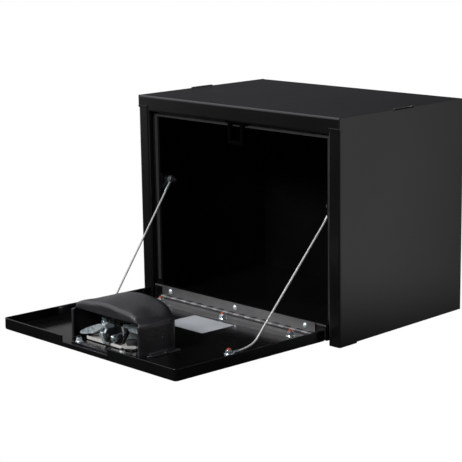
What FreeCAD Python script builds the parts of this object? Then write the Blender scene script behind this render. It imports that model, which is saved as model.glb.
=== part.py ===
import FreeCAD, Part
import os
from math import pi, sin, cos, tan, atan2, radians, degrees, sqrt

# Underbody tool box with a drop-down door, 18 x 14 x 12 in.
# Row frame: x to the right, front at -y, z up. Origin at the centre of the
# underside of the bottom panel. Millimetres.
# Pieces that ride on the door are drawn in the door frame: origin on the hinge
# pin, -y towards the free edge, z up from the door floor. Their bodies are
# placed by the pin position and the small upward tilt of the open door.
# The latch and its cover are drawn in the latch frame, the door frame moved so
# that it keeps its distance from the free edge.

V = FreeCAD.Vector
doc = FreeCAD.newDocument("tool_box")

# Driving dimensions

TABLE = [
    ("cab_width", 457.2, "outside width, 18 in"),
    ("cab_depth", 304.8, "outside depth, 12 in"),
    ("side_height", 355.6, "height of the side panels, 14 in"),
    ("side_drop", 3.5, "side panels below the underside of the bottom panel"),
    ("foot_drop", 2.0, "front posts below the side panels"),
    ("foot_depth", 40.0, "depth of that lower part"),
    ("sheet_gauge", 1.9, "steel sheet, 14 gauge"),
    ("bend_inner", 1.6, "inside radius of the bends"),
    ("post_face", 23.8, "width of the front face of each post"),
    ("lip_height", 26.6, "height of the top lip at the opening"),
    ("lip_end_height", 18.5, "height of the top lip over the posts"),
    ("return_depth", 12.5, "depth of the return behind the front face"),
    ("flange_side", 12.5, "recessed flange, sides"),
    ("flange_top", 9.0, "recessed flange, top"),
    ("sill_top", 26.0, "top of the sill above the base"),
    ("sill_short", 5.8, "sill stops short of the posts"),
    ("hem_depth", 10.0, "hem on top of the sill"),
    ("pin_height", 6.9, "hinge pin above the base"),
    ("knuckle_rad", 3.2, "outside radius of the hinge knuckles"),
    ("pin_rad", 1.6, "radius of the hinge pin"),
    ("leaf_gauge", 1.5, "hinge leaf"),
    ("leaf_short", 50.8, "hinge stops short of the outside"),
    ("leaf_width_box", 19.05, "pin to edge, leaf on the sill"),
    ("leaf_width_door", 34.0, "pin to edge, leaf on the door"),
    ("door_gap", 1.6, "closed door to each post"),
    ("door_gap_top", 2.1, "closed door to the top lip"),
    ("door_depth", 18.5, "depth of the door pan"),
    ("door_start", 4.0, "hinge pin to the near edge of the pan"),
    ("door_tilt", 1.5, "open door above level, degrees"),
    ("pan_corner", 7.0, "free corners of the pan"),
    ("pan_bend", 3.2, "outside bend of the pan"),
    ("notch_half", 54.0, "half width of the notch in the free flange"),
    ("notch_floor", 7.0, "bottom of that notch above the floor"),
    ("cover_half", 84.0, "half width of the latch cover"),
    ("latch_datum", 316.5, "origin of the latch frame inside the free edge"),
    ("cover_back", 183.0, "back of the cover from that origin"),
    ("cover_front", 303.0, "front of the cover outline from it"),
    ("cover_mouth", 277.0, "mouth of the cover from it"),
    ("cover_corner", 46.0, "corner radius of the cover"),
    ("cover_skirt", 48.0, "height of the skirt of the cover"),
    ("cover_step", 3.0, "ledge between skirt and dome"),
    ("cover_round", 18.0, "rounding of the shoulders of the dome"),
    ("cover_nose", 6.0, "rounding of the dome over the mouth"),
    ("cover_wall", 3.2, "wall of the cover"),
    ("cable_rad", 1.7, "radius of the cable over its sheath"),
    ("cable_bend", 37.0, "bend radius of the cable at the door"),
]
sheet = doc.addObject("Spreadsheet::Sheet", "Dimensions")
T = {}
for row, (name, value, note) in enumerate(TABLE, start=1):
    sheet.set("A%d" % row, name)
    sheet.set("B%d" % row, repr(value))
    sheet.set("C%d" % row, note)
    sheet.setAlias("B%d" % row, name)
    T[name] = value
doc.recompute()


class Dim:
    """A length that knows its value and the expression that drives it."""

    def __init__(self, value, text):
        self.value = value
        self.text = text

    def mix(self, other, sign, swap=False):
        a, b = (other, self) if swap else (self, other)
        x, y = num(a), num(b)
        result = {"+": x + y, "-": x - y, "*": x * y, "/": x / y if y else 0.0}[sign]
        return Dim(result, "(%s %s %s)" % (words(a), sign, words(b)))

    def __add__(self, other):
        return self.mix(other, "+")

    def __radd__(self, other):
        return self.mix(other, "+", True)

    def __sub__(self, other):
        return self.mix(other, "-")

    def __rsub__(self, other):
        return self.mix(other, "-", True)

    def __mul__(self, other):
        return self.mix(other, "*")

    def __rmul__(self, other):
        return self.mix(other, "*", True)

    def __truediv__(self, other):
        return self.mix(other, "/")

    def __neg__(self):
        return Dim(-self.value, "(-1 * %s)" % self.text)


def num(a):
    return a.value if isinstance(a, Dim) else float(a)


def words(a):
    return a.text if isinstance(a, Dim) else repr(float(a))


def dim(name):
    return Dim(T[name], "Dimensions.%s" % name)


HW = dim("cab_width") / 2
YF = -(dim("cab_depth") / 2)
YB = dim("cab_depth") / 2
ZT = dim("side_height") - dim("side_drop")
GA = dim("sheet_gauge")
LEAF = dim("leaf_gauge")
KR = dim("knuckle_rad")
PIN_Y = YF - KR
PIN_Z = dim("pin_height")
FLOOR = -KR
OUTER = FLOOR - GA
POST = HW - dim("post_face")
RET = YF + dim("return_depth")
LIP = ZT - dim("lip_height")
DH = POST - dim("door_gap")
REACH = LIP - PIN_Z - dim("door_gap_top")
SHIFT = dim("latch_datum") - REACH
LH = HW - dim("leaf_short")
SILL_RIVETS = LH - 20.8
HINGE_BOLTS = LH - 26.2
THREE = ((-1, "left"), (0, "middle"), (1, "right"))
SIDES = ((-1, "left"), (1, "right"))

ROW = FreeCAD.Placement()
DOOR = FreeCAD.Placement(V(0, num(PIN_Y), num(PIN_Z)), FreeCAD.Rotation(V(1, 0, 0), -T["door_tilt"]))
LATCH = DOOR.multiply(FreeCAD.Placement(V(0, num(SHIFT), 0), FreeCAD.Rotation()))
X, Y, Z = V(1, 0, 0), V(0, 1, 0), V(0, 0, 1)
nodes = []


def turn(axis):
    """Rotation that takes the z axis onto the given axis."""
    return FreeCAD.Rotation(V(0, 0, 1), axis)


class Node:
    """One sub-part: a body whose label is the node name."""

    def __init__(self, name, place=ROW):
        self.name = name
        self.body = doc.addObject("PartDesign::Body", name)
        self.body.Label = name
        self.body.Placement = place
        self.count = 0
        self.planes = {f.Role: f for f in self.body.Origin.OriginFeatures}
        nodes.append(self)

    def add(self, kind, tag, **props):
        self.count += 1
        f = self.body.newObject("PartDesign::" + kind, "%s_%s%d" % (self.name, tag, self.count))
        for key, value in props.items():
            if isinstance(value, Dim):
                setattr(f, key, value.value)
                f.setExpression(key, value.text)
            else:
                setattr(f, key, value)
        return f

    def put(self, f, x, y, z, rot=None):
        f.Placement = FreeCAD.Placement(V(num(x), num(y), num(z)), rot or FreeCAD.Rotation())
        for key, value in (("x", x), ("y", y), ("z", z)):
            if isinstance(value, Dim):
                f.setExpression("Placement.Base." + key, value.text)
        return f

    def box(self, x0, x1, y0, y1, z0, z1, cut=False):
        f = self.add("SubtractiveBox" if cut else "AdditiveBox", "box",
                     Length=x1 - x0, Width=y1 - y0, Height=z1 - z0)
        return self.put(f, x0, y0, z0)

    def cyl(self, x, y, z, axis, r, h, cut=False):
        f = self.add("SubtractiveCylinder" if cut else "AdditiveCylinder", "cyl", Radius=r, Height=h)
        return self.put(f, x, y, z, turn(axis))

    def cone(self, x, y, z, axis, r1, r2, h):
        f = self.add("AdditiveCone", "cone", Radius1=r1, Radius2=r2, Height=h)
        return self.put(f, x, y, z, turn(axis))

    def ball(self, x, y, z, r):
        f = self.add("AdditiveSphere", "ball", Radius=r)
        return self.put(f, x, y, z)

    def hexagon(self, x, y, z, axis, flats, h):
        f = self.add("AdditivePrism", "hex", Polygon=6, Circumradius=num(flats) / sqrt(3), Height=h)
        return self.put(f, x, y, z, turn(axis))

    def sketch(self, plane, geometry, offset=0.0):
        self.count += 1
        s = self.body.newObject("Sketcher::SketchObject", "%s_sketch%d" % (self.name, self.count))
        s.AttachmentSupport = (self.planes[plane], "")
        s.MapMode = "FlatFace"
        s.AttachmentOffset = FreeCAD.Placement(V(0, 0, num(offset)), FreeCAD.Rotation())
        if isinstance(offset, Dim):
            s.setExpression("AttachmentOffset.Base.z", offset.text)
        for g in geometry:
            s.addGeometry(g, False)
        s.Visibility = False
        return s

    def pad(self, plane, geometry, offset, length, cut=False):
        s = self.sketch(plane, geometry, offset)
        f = self.add("Pocket" if cut else "Pad", "pocket" if cut else "pad", Profile=s, Length=length)
        if cut:
            f.Reversed = True
        doc.recompute()
        return f

    def repeat(self, originals, axis, length, count):
        f = self.add("LinearPattern", "row", Originals=originals, Direction=(self.planes[axis], [""]),
                     Length=length, Occurrences=count)
        self.body.Tip = f
        doc.recompute()
        return f

    def round(self, test, r, kind="Fillet"):
        """Round or chamfer the edges for which test(middle, edge) is true."""
        doc.recompute()
        tip = self.body.Tip
        names = []
        for i, e in enumerate(tip.Shape.Edges, start=1):
            mid = e.valueAt((e.FirstParameter + e.LastParameter) / 2)
            if test(mid, e):
                names.append("Edge%d" % i)
        size = {"Radius": r} if kind == "Fillet" else {"Size": r}
        f = self.add(kind, kind.lower(), Base=(tip, names), **size)
        doc.recompute()
        return f


def lines(points):
    """Closed polygon."""
    pts = [V(num(a), num(b), 0) for a, b in points]
    return [Part.LineSegment(p, q) for p, q in zip(pts, pts[1:] + pts[:1])]


def circle(x, y, r):
    return Part.Circle(V(num(x), num(y), 0), V(0, 0, 1), num(r))


def rounded(points):
    """Closed polygon of (x, y, radius) corners."""
    pts = [(V(num(p[0]), num(p[1]), 0), num(p[2]) if len(p) > 2 else 0.0) for p in points]
    out, ends = [], []
    n = len(pts)
    for i, (p, r) in enumerate(pts):
        a = (pts[i - 1][0] - p).normalize()
        b = (pts[(i + 1) % n][0] - p).normalize()
        if r <= 0:
            ends.append((p, p, None))
            continue
        half = a.getAngle(b) / 2
        cut = r / tan(half)
        centre = p + (a + b).normalize() * (r / sin(half))
        middle = centre + (p - centre).normalize() * r
        ends.append((p + a * cut, p + b * cut, middle))
    for i, (start, end, middle) in enumerate(ends):
        if middle is not None:
            out.append(Part.Arc(start, middle, end))
        following = ends[(i + 1) % n][0]
        if end.distanceToPoint(following) > 1e-6:
            out.append(Part.LineSegment(end, following))
    return out


def strip(points, gauge, inner):
    """Bent sheet: the given line is one face, the sheet lies to its left."""
    pts = [V(num(a), num(b), 0) for a, b in points]
    g, r0 = num(gauge), num(inner)
    dirs = [(q - p).normalize() for p, q in zip(pts, pts[1:])]
    left = [V(-d.y, d.x, 0) for d in dirs]
    near, far = [], []
    start_n, start_f = pts[0], pts[0] + left[0] * g
    for i in range(1, len(pts) - 1):
        d0, d1 = dirs[i - 1], dirs[i]
        bend = atan2(d0.x * d1.y - d0.y * d1.x, d0.dot(d1))
        turning = 1 if bend > 0 else -1
        radius_n = r0 + g if turning > 0 else r0
        radius_f = r0 if turning > 0 else r0 + g
        centre_side = turning
        trim = radius_n * tan(abs(bend) / 2)
        a = pts[i] - d0 * trim
        b = pts[i] + d1 * trim
        centre = a + left[i - 1] * (centre_side * radius_n)
        out_dir = (pts[i] - centre).normalize()
        af = centre - left[i - 1] * (centre_side * radius_f)
        bf = centre - left[i] * (centre_side * radius_f)
        near += [Part.LineSegment(start_n, a), Part.Arc(a, centre + out_dir * radius_n, b)]
        far += [Part.LineSegment(start_f, af), Part.Arc(af, centre + out_dir * radius_f, bf)]
        start_n, start_f = b, bf
    end_n, end_f = pts[-1], pts[-1] + left[-1] * g
    near.append(Part.LineSegment(start_n, end_n))
    far.append(Part.LineSegment(start_f, end_f))
    return near + [Part.LineSegment(end_n, end_f)] + far + [Part.LineSegment(pts[0], pts[0] + left[0] * g)]


def along(e, axis, tol=1e-3):
    """True for a straight edge parallel to the axis."""
    if len(e.Vertexes) < 2:
        return False
    step = e.Vertexes[1].Point - e.Vertexes[0].Point
    if abs(step.Length - e.Length) > 1e-4 or step.Length < 1e-6:
        return False
    return abs(abs(step.dot(axis)) / step.Length - 1) < tol


# Cabinet

WIDE = HW - GA
SILL = dim("sill_top")
RIVET_Z = 18.2

wrap = Node("cabinet_wrap")
profile = strip([(YF + dim("hem_depth"), SILL), (YF, SILL), (YF, 0), (YB, 0), (YB, ZT), (YF, ZT),
                 (YF, LIP), (RET, LIP), (RET, LIP - dim("flange_top"))], GA, T["bend_inner"])
wrap.pad("YZ_Plane", profile, -WIDE, WIDE * 2)
for side in (-1, 1):
    inner, outer = (POST - dim("sill_short")) * side, (WIDE + 1) * side
    a, b = (inner, outer) if side > 0 else (outer, inner)
    wrap.box(a, b, YF - 1, RET + GA + 0.6, -1, SILL + 1, cut=True)
    inner = POST * side
    a, b = (inner, outer) if side > 0 else (outer, inner)
    wrap.box(a, b, YF - 1, RET + GA + 1, LIP - dim("flange_top") - 1, ZT - dim("lip_end_height"), cut=True)
for place, word in THREE:
    wrap.cyl(SILL_RIVETS * place, YF - 1, RIVET_Z, Y, 2.6, 4, cut=True)

LOW = -dim("side_drop") - dim("foot_drop")
TOP_WELD = ZT - dim("lip_end_height")
WELD_START, WELD_STEPS, WELD_PITCH = 2.7, 11, 1.9
SEAM_STEPS, SEAM_PITCH, SEAM_START = 19, 2.6, 27.0
for side, word in SIDES:
    n = Node("side_panel_" + word)
    path = [(HW * side, YB), (HW * side, YF), (POST * side, YF), (POST * side, RET),
            ((POST - dim("flange_side")) * side, RET)]
    n.pad("XY_Plane", strip(path if side < 0 else path[::-1], GA, T["bend_inner"]),
          LOW, TOP_WELD - LOW)
    a, b = (HW - GA, HW) if side > 0 else (-HW, -HW + GA)
    n.box(a, b, YF + 3.5, YB, TOP_WELD - 1, ZT)
    n.box(a, b, YF, YF + 4, TOP_WELD, ZT)
    a, b = (HW - 30, HW + 1) if side > 0 else (-HW - 1, -HW + 30)
    n.box(a, b, YF + dim("foot_depth"), YB + 1, LOW - 1, -dim("side_drop"), cut=True)
    a, b = (POST - 15, POST) if side > 0 else (-POST, -POST + 15)
    n.box(a, b, RET - 2, RET + 4, LOW - 1, GA, cut=True)
    n.box(a, b, RET - 2, RET + 4, LIP - dim("flange_top"), ZT, cut=True)
    # weld beads: a row of drops across the post, one along the top seam
    length = WELD_PITCH * (WELD_STEPS - 1)
    first = POST + WELD_START if side > 0 else -POST - WELD_START - length
    drop = n.pad("XZ_Plane", [circle(first, TOP_WELD, 1.9)], -YF, 0.9)
    n.repeat([drop], "X_Axis", length, WELD_STEPS)
    drop = n.cone(HW * side, -SEAM_START, ZT, Y, 1.9, 1.3, SEAM_PITCH)
    n.repeat([drop], "Y_Axis", SEAM_PITCH * (SEAM_STEPS - 1), SEAM_STEPS)

# Rubber strip on the recessed flanges, three sides
SEAL, SEAL_EDGE, SEAL_WIDE = 1.6, 3.6, 6.4
n = Node("door_seal")
for side in (-1, 1):
    a, b = POST - SEAL_EDGE - SEAL_WIDE, POST - SEAL_EDGE
    if side < 0:
        a, b = -b, -a
    n.box(a, b, RET - SEAL, RET, SILL + 6, LIP - SEAL_EDGE)
n.box(-POST + SEAL_EDGE, POST - SEAL_EDGE, RET - SEAL, RET, LIP - 8.6, LIP - SEAL_EDGE)
n.round(lambda m, e: abs(m.y - num(RET - SEAL)) < 0.01 and e.Length > 20, 0.7)

# Striker: a loop under the top return, and its pad
STRIKE_Y = YF + 6.8
STRIKE_R = 3.5
STRIKE_Z = PIN_Z + REACH - 32.5
n = Node("striker_loop")
for side in (-1, 1):
    n.cyl(14.0 * side, STRIKE_Y, STRIKE_Z, Z, STRIKE_R, LIP - 2 - STRIKE_Z)
    n.ball(14.0 * side, STRIKE_Y, STRIKE_Z, STRIKE_R)
n.cyl(-14, STRIKE_Y, STRIKE_Z, X, STRIKE_R, 28)
n.box(-24, 24, STRIKE_Y - 3.2, STRIKE_Y + 3.4, LIP - 2, LIP)
n.round(lambda m, e: along(e, Z) and abs(abs(m.x) - 24) < 0.1, 2.5)

# Hinge

KNUCKLES = 14
PITCH = LH * 2 / KNUCKLES
KNUCKLE = PITCH / 2 - 0.35
n = Node("hinge_leaf_sill")
roll = n.pad("YZ_Plane", [circle(PIN_Y, PIN_Z, KR)], -LH, KNUCKLE)
WEB = 4.5
web = n.pad("YZ_Plane", lines([(YF - LEAF, PIN_Z), (YF, PIN_Z), (YF, PIN_Z + WEB),
                               (YF - LEAF, PIN_Z + WEB)]), -LH, KNUCKLE)
n.repeat([roll, web], "X_Axis", LH * 2 - PITCH, KNUCKLES)
n.box(-LH, LH, PIN_Y + KR - LEAF, PIN_Y + KR, PIN_Z + 3.6, PIN_Z + dim("leaf_width_box"))
n.cyl(-LH - 1, PIN_Y, PIN_Z, X, dim("pin_rad") + 0.05, LH * 2 + 2, cut=True)
for place, word in THREE:
    n.cyl(SILL_RIVETS * place, YF - 3, RIVET_Z, Y, 2.6, 4, cut=True)

n = Node("hinge_pin")
n.cyl(-LH - 1, PIN_Y, PIN_Z, X, dim("pin_rad"), LH * 2 + 2)
n.round(lambda m, e: abs(abs(m.x) - num(LH) - 1) < 0.01, 0.4, "Chamfer")

for place, word in THREE:
    # dome over the leaf, shank, and the upset end behind the sill
    n = Node("sill_rivet_" + word)
    x = SILL_RIVETS * place
    n.ball(x, YF - LEAF + 2.8, RIVET_Z, 5.2)
    n.box(x - 6, x + 6, YF - LEAF, YF + 9, RIVET_Z - 6, RIVET_Z + 6, cut=True)
    n.cyl(x, YF - LEAF - 1, RIVET_Z, Y, 2.5, LEAF + GA + 1.4)
    n.cone(x, YF + GA, RIVET_Z, Y, 4.0, 2.4, 1.8)

n = Node("hinge_leaf_door", DOOR)
start = -LH + PITCH / 2
roll = n.pad("YZ_Plane", [circle(0, 0, KR)], start, KNUCKLE)
web = n.pad("YZ_Plane", lines([(-WEB, FLOOR), (0, FLOOR), (0, FLOOR + LEAF), (-WEB, FLOOR + LEAF)]),
            start, KNUCKLE)
n.repeat([roll, web], "X_Axis", LH * 2 - PITCH, KNUCKLES)
n.box(-LH, LH, -dim("leaf_width_door"), -3.6, FLOOR, FLOOR + LEAF)
n.cyl(-LH - 1, 0, 0, X, dim("pin_rad") + 0.05, LH * 2 + 2, cut=True)
BOLT_Y = -26.0
for place, word in THREE:
    n.cyl(HINGE_BOLTS * place, BOLT_Y, FLOOR - 1, Z, 3.2, 4, cut=True)

# Door pan

pan = Node("door_pan", DOOR)
c = dim("pan_corner")
NEAR = dim("door_start")
pan.pad("XY_Plane", rounded([(-DH, -NEAR), (-DH, -REACH, c), (DH, -REACH, c), (DH, -NEAR)]),
        OUTER, dim("door_depth"))
pan.round(lambda m, e: abs(m.z - num(OUTER)) < 0.01 and m.y < -num(NEAR) - 1, num(dim("pan_bend")))
pan.pad("XY_Plane", rounded([(-DH + GA, 5), (-DH + GA, -REACH + GA, c - GA), (DH - GA, -REACH + GA, c - GA),
                             (DH - GA, 5)]), FLOOR, dim("door_depth"), cut=True)
pan.round(lambda m, e: abs(m.z - num(FLOOR)) < 0.01 and abs(m.x) < num(DH) - 1.5
          and (abs(m.x) > num(DH) - 6 or m.y < -num(REACH) + 6) and m.y < -10, 2.0)
NOTCH = dim("notch_half")
pan.box(-NOTCH, NOTCH, -REACH - 1, -REACH + 5, FLOOR + dim("notch_floor"), 40, cut=True)
HOLE = (-46.0, 46.0, -262.0, -205.0)
pan.box(HOLE[0], HOLE[1], SHIFT + HOLE[2], SHIFT + HOLE[3], OUTER - 1, FLOOR + 1, cut=True)
CABLE_X, CABLE_V = DH - 43.2, 169.0
CW = dim("cover_half")
FRONT_STUD, REAR_STUD = CW - 33, CW - 30
STUDS = ((-FRONT_STUD, -285.0, "front_left"), (FRONT_STUD, -285.0, "front_right"),
         (-REAR_STUD, -197.0, "rear_left"), (REAR_STUD, -197.0, "rear_right"))
LOCK_X, LOCK_Y = 62.0, -234.0
RIVET_X, RIVET_Y = CW + 4.8, -231.0
for place, word in THREE:
    pan.cyl(HINGE_BOLTS * place, BOLT_Y, OUTER - 1, Z, 3.2, 4, cut=True)
for side in (-1, 1):
    pan.cyl(CABLE_X * side, -CABLE_V, OUTER - 1, Z, 3.2, 4, cut=True)
    pan.cyl(RIVET_X * side, SHIFT + RIVET_Y, OUTER - 1, Z, 2.05, 4, cut=True)
for x, y, word in STUDS:
    pan.cyl(x, SHIFT + y, OUTER - 1, Z, 2.7, 4, cut=True)
pan.cyl(LOCK_X, SHIFT + LOCK_Y, OUTER - 1, Z, 9.6, 4, cut=True)


def bolt(name, x, y, top, r=3.0):
    """Carriage bolt through the door, dome outside, thread end above the nut."""
    b = Node(name, DOOR)
    b.ball(x, y, OUTER + 4.2, 7.6)
    b.box(x - 9, x + 9, y - 9, y + 9, OUTER, OUTER + 20, cut=True)
    b.cyl(x, y, OUTER - 1, Z, r, top - OUTER + 1)
    b.round(lambda m, e: abs(m.z - num(top)) < 0.01, 0.6, "Chamfer")
    return b


def nut(name, x, y, base, flats=10.0, tall=6.0, bore=3.05, place=DOOR):
    """Flanged lock nut with a raised collar."""
    b = Node(name, place)
    b.cone(x, y, base, Z, flats * 0.72, flats * 0.64, 1.4)
    b.hexagon(x, y, base, Z, flats, tall)
    b.cyl(x, y, base, Z, flats / 2 - 0.4, tall + 1.6)
    b.cyl(x, y, base - 1, Z, bore, tall + 4, cut=True)
    return b


for place, word in THREE:
    bolt("hinge_bolt_" + word, HINGE_BOLTS * place, BOLT_Y, FLOOR + LEAF + 10.0)
    nut("hinge_nut_" + word, HINGE_BOLTS * place, BOLT_Y, FLOOR + LEAF)

# Cables: from a tab behind the side flange to a bolt on the door floor

EYE_TOP, EYE_LOW = 6.6, 2.4
LOW_AXIS = 2.95
CABLE_R = dim("cable_rad")


def high(h):
    """Height above the floor of the pan, door frame."""
    return num(FLOOR) + h


def torus_arc(n, centre, start, axis, big, small, angle):
    """Part of a torus from the start point, turning about the axis."""
    f = n.add("AdditiveTorus", "bend", Radius1=big, Radius2=small, Angle3=degrees(angle))
    ex = (start - centre).normalize()
    ey = axis.cross(ex)
    f.Placement = FreeCAD.Placement(FreeCAD.Matrix(
        ex.x, ey.x, axis.x, centre.x,
        ex.y, ey.y, axis.y, centre.y,
        ex.z, ey.z, axis.z, centre.z,
        0, 0, 0, 1))
    return f


for side, word in SIDES:
    # straight run, one bend above the door, short run into the lower eye
    lower = DOOR.multVec(V(num(CABLE_X) * side, -CABLE_V, high(LOW_AXIS)))
    upper = V((num(POST) - 18.6) * side, num(RET) + 20, 206)
    knee = V((num(DH) - 36.6) * side, num(PIN_Y) - 127.4, num(PIN_Z) + 5.1)
    a = (lower - knee).normalize()
    b = (upper - knee).normalize()
    half = a.getAngle(b) / 2
    r = T["cable_bend"]
    centre = knee + (a + b).normalize() * (r / sin(half))
    bend0, bend1 = knee + a * (r / tan(half)), knee + b * (r / tan(half))
    n = Node("cable_" + word)
    start, end = lower - a * 9.5, upper - b * 9.0
    n.cyl(start.x, start.y, start.z, bend0 - start, CABLE_R, (bend0 - start).Length)
    normal = (bend0 - centre).cross(bend1 - centre).normalize()
    torus_arc(n, centre, bend0, normal, r, num(CABLE_R), pi - 2 * half)
    n.cyl(bend1.x, bend1.y, bend1.z, end - bend1, CABLE_R, (end - bend1).Length)

    n = Node("cable_eye_upper_" + word)
    flat = V(side, 0, 0)
    base = upper - flat * (EYE_TOP / 2)
    n.cyl(base.x, base.y, base.z, flat, 6.4, EYE_TOP)
    point = upper - b * 5.0
    n.cyl(point.x, point.y, point.z, -b, 2.7, 20.0)
    n.cyl(base.x - 5 * side, base.y, base.z, flat, 3.2, 16, cut=True)
    point = upper - b * 8.6
    n.cyl(point.x, point.y, point.z, -b, CABLE_R + 0.01, 30, cut=True)

    n = Node("cable_eye_lower_" + word, DOOR)
    back = DOOR.inverse()
    point, way = back.multVec(lower), back.Rotation.multVec(-a)
    n.cyl(CABLE_X * side, -CABLE_V, FLOOR, Z, 6.8, EYE_LOW)
    across = V(-way.y, way.x, 0).normalize() * 2.4
    root = V(point.x, point.y, 0)
    tip = root + V(way.x, way.y, 0) * 13
    corners = (root + across, root - across, tip - across, tip + across)
    n.pad("XY_Plane", lines([(p.x, p.y) for p in corners]), FLOOR, EYE_LOW)
    s0 = point + way * 8.2
    n.cyl(s0.x, s0.y, s0.z, way, 2.6, 9.0)
    n.cyl(CABLE_X * side, -CABLE_V, FLOOR - 1, Z, 3.2, 5, cut=True)
    s0 = point + way * 9.2
    n.cyl(s0.x, s0.y, s0.z, way, CABLE_R + 0.01, 30, cut=True)

    n = Node("cable_tab_" + word)
    tab0 = upper.x + side * EYE_TOP / 2
    tab1 = tab0 + side * 2.5
    back = RET + GA
    lo, hi = sorted((tab0, tab1))
    n.box(lo, hi, back, upper.y + 9.4, upper.z - 13, upper.z + 13)
    n.round(lambda m, e: along(e, X) and m.y > upper.y + 8, 5)
    lo, hi = sorted((tab0, num(POST) * side))
    n.box(lo, hi, back, back + 2.5, upper.z - 13, upper.z + 13)
    n.cyl(tab0 - 3 * side, upper.y, upper.z, flat, 3.2, 9, cut=True)

    n = Node("cable_bolt_upper_" + word)
    n.hexagon(tab1, upper.y, upper.z, flat, 10, 4)
    n.cyl(tab1 + side, upper.y, upper.z, -flat, 3.0, 19.5)

    nut("cable_nut_upper_" + word, 0, 0, 0, flats=9.0, tall=4.6, place=FreeCAD.Placement(
        V(upper.x - side * EYE_TOP / 2, upper.y, upper.z), turn(-flat)))
    bolt("cable_bolt_lower_" + word, CABLE_X * side, -CABLE_V, FLOOR + EYE_LOW + 8.2)
    nut("cable_nut_lower_" + word, CABLE_X * side, -CABLE_V, FLOOR + EYE_LOW, tall=4.4)

# Latch, in the latch frame: side views are given as (distance from the origin, height above the floor)


def side_view(points):
    return rounded([(-p[0], high(p[1])) + tuple(p[2:]) for p in points])


BEZEL = num(OUTER) - 1.5
n = Node("latch_bezel", LATCH)
half = CW - 10
n.pad("XY_Plane", rounded([(-half, -293, 10), (half, -293, 10), (half, -189, 10), (-half, -189, 10)]),
      BEZEL, 1.5)
n.box(-45, 45, -261, -206, BEZEL, high(3.0))
n.box(-43.5, 43.5, -259.5, -207.5, BEZEL - 1, high(4), cut=True)
for x, y, word in STUDS:
    n.cyl(x, y, BEZEL + 0.5, Z, 2.4, high(11 if y < -250 else 14) - BEZEL - 0.5)
n.cyl(LOCK_X, LOCK_Y, BEZEL - 1, Z, 9.6, 4, cut=True)
n.cyl(-50, -254, high(-0.9), X, 1.55, 100, cut=True)

n = Node("latch_plate", LATCH)
half = REAR_STUD + 6
n.pad("XY_Plane", lines([(-half, -204), (-half, -197), (8 - half, -190), (half - 8, -190), (half, -197),
                         (half, -204), (46, -204), (46, -254), (30, -269), (-52, -269), (-56, -265),
                         (-56, -204)]), high(3.0), 2.0)
# rim turned up along its front and its cut corners
n.pad("XY_Plane", lines([(30, -269), (-52, -269), (-56, -265), (-54.5, -263.5), (-51.1, -266.8),
                         (29.1, -266.8), (44.4, -252.4), (46, -254)]), high(3.0), 4.2)
n.box(-3.6, 3.6, -270, -250, high(2), high(8), cut=True)
n.box(-8.6, 8.6, -266.9, -263, high(5), high(8), cut=True)
n.box(13, 18, -263, -240, high(2), high(8), cut=True)
for x, y, word in STUDS[2:]:
    n.cyl(x, y, high(2), Z, 2.7, 4, cut=True)

n = Node("latch_strap", LATCH)
half = FRONT_STUD + 11
n.pad("XY_Plane", rounded([(-half, -294, 4), (half, -294, 4), (half, -273, 4), (-half, -273, 4)]),
      FLOOR, 2.0)
for x, y, word in STUDS[:2]:
    n.cyl(x, y, FLOOR - 1, Z, 2.7, 4, cut=True)
for x, y, word in STUDS:
    base = high(2.0 if y < -250 else 5.0)
    nut("stud_nut_" + word, x, y, base, flats=8.0, tall=4.6, bore=2.45, place=LATCH)

n = Node("latch_case", LATCH)
CHEEK = [(219, 5), (264.5, 5), (264.5, 9.4, 1), (277.5, 9.4, 3), (277.5, 27, 5), (272, 30.5, 4),
         (247, 30.5, 4), (247, 17), (229, 17, 4), (219, 9, 3)]
n.pad("YZ_Plane", side_view(CHEEK), -5.5, 11)
n.box(-7.6, 7.6, -264.5, -219, high(5), high(6.5))
n.box(-3.5, 3.5, -280, -229.5, high(4), high(31), cut=True)
n.box(-3.5, 3.5, -232, -216, high(6.5), high(31), cut=True)
n.cyl(-9, -266, high(15), X, 2.55, 18, cut=True)
n.cyl(-9, -236, high(11), X, 2.05, 18, cut=True)

n = Node("claw_pin", LATCH)
n.cyl(-5.5, -266, high(15), X, 2.5, 12.2)
n.cyl(-7.0, -266, high(15), X, 4.6, 1.5)
n = Node("pawl_pin", LATCH)
n.cyl(-5.5, -236, high(11), X, 2.0, 12.2)
n.cyl(-7.0, -236, high(11), X, 3.6, 1.5)

# Claw at rest: the mouth of its slot looks up, ready for the striker
SLOT = radians(48)


def claw(points):
    return side_view([(266 + p[0] * cos(SLOT) - p[1] * sin(SLOT), 15 + p[0] * sin(SLOT) + p[1] * cos(SLOT))
                      + tuple(p[2:]) for p in points])


n = Node("claw", LATCH)
n.cyl(-3, -266, high(15), X, 13, 6)
n.pad("YZ_Plane", claw([(0, 12.9), (11, 17, 5), (20.5, 13, 4), (24.3, 5.5, 1), (24.3, 0), (19.0, 0),
                        (19.0, -6.2, 1.5), (13.5, -9.8, 4), (3, -12.6), (0, 0)]), -3, 6)
n.pad("YZ_Plane", claw([(13.8, 4.5, 4.2), (13.8, -4.5, 4.2), (32, -4.5), (32, 4.5)]), -4, 8, cut=True)
n.pad("YZ_Plane", claw([(-10.8, 0.8), (-16, 0.8), (-16, 6), (-11.8, 6)]), -4, 8, cut=True)
n.cyl(-4, -266, high(15), X, 2.55, 8, cut=True)

n = Node("pawl", LATCH)
n.cyl(-3, -236, high(11), X, 4.0, 6)
n.pad("YZ_Plane", side_view([(235, 7.4), (246, 11.5), (252.4, 17.6, 0.8), (250.6, 20.6, 1.5), (240, 14.8),
                             (233, 14)]), -3, 6)
n.pad("YZ_Plane", side_view([(234, 11), (238, 11), (239, 24), (235, 24)]), -3, 6)
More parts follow.
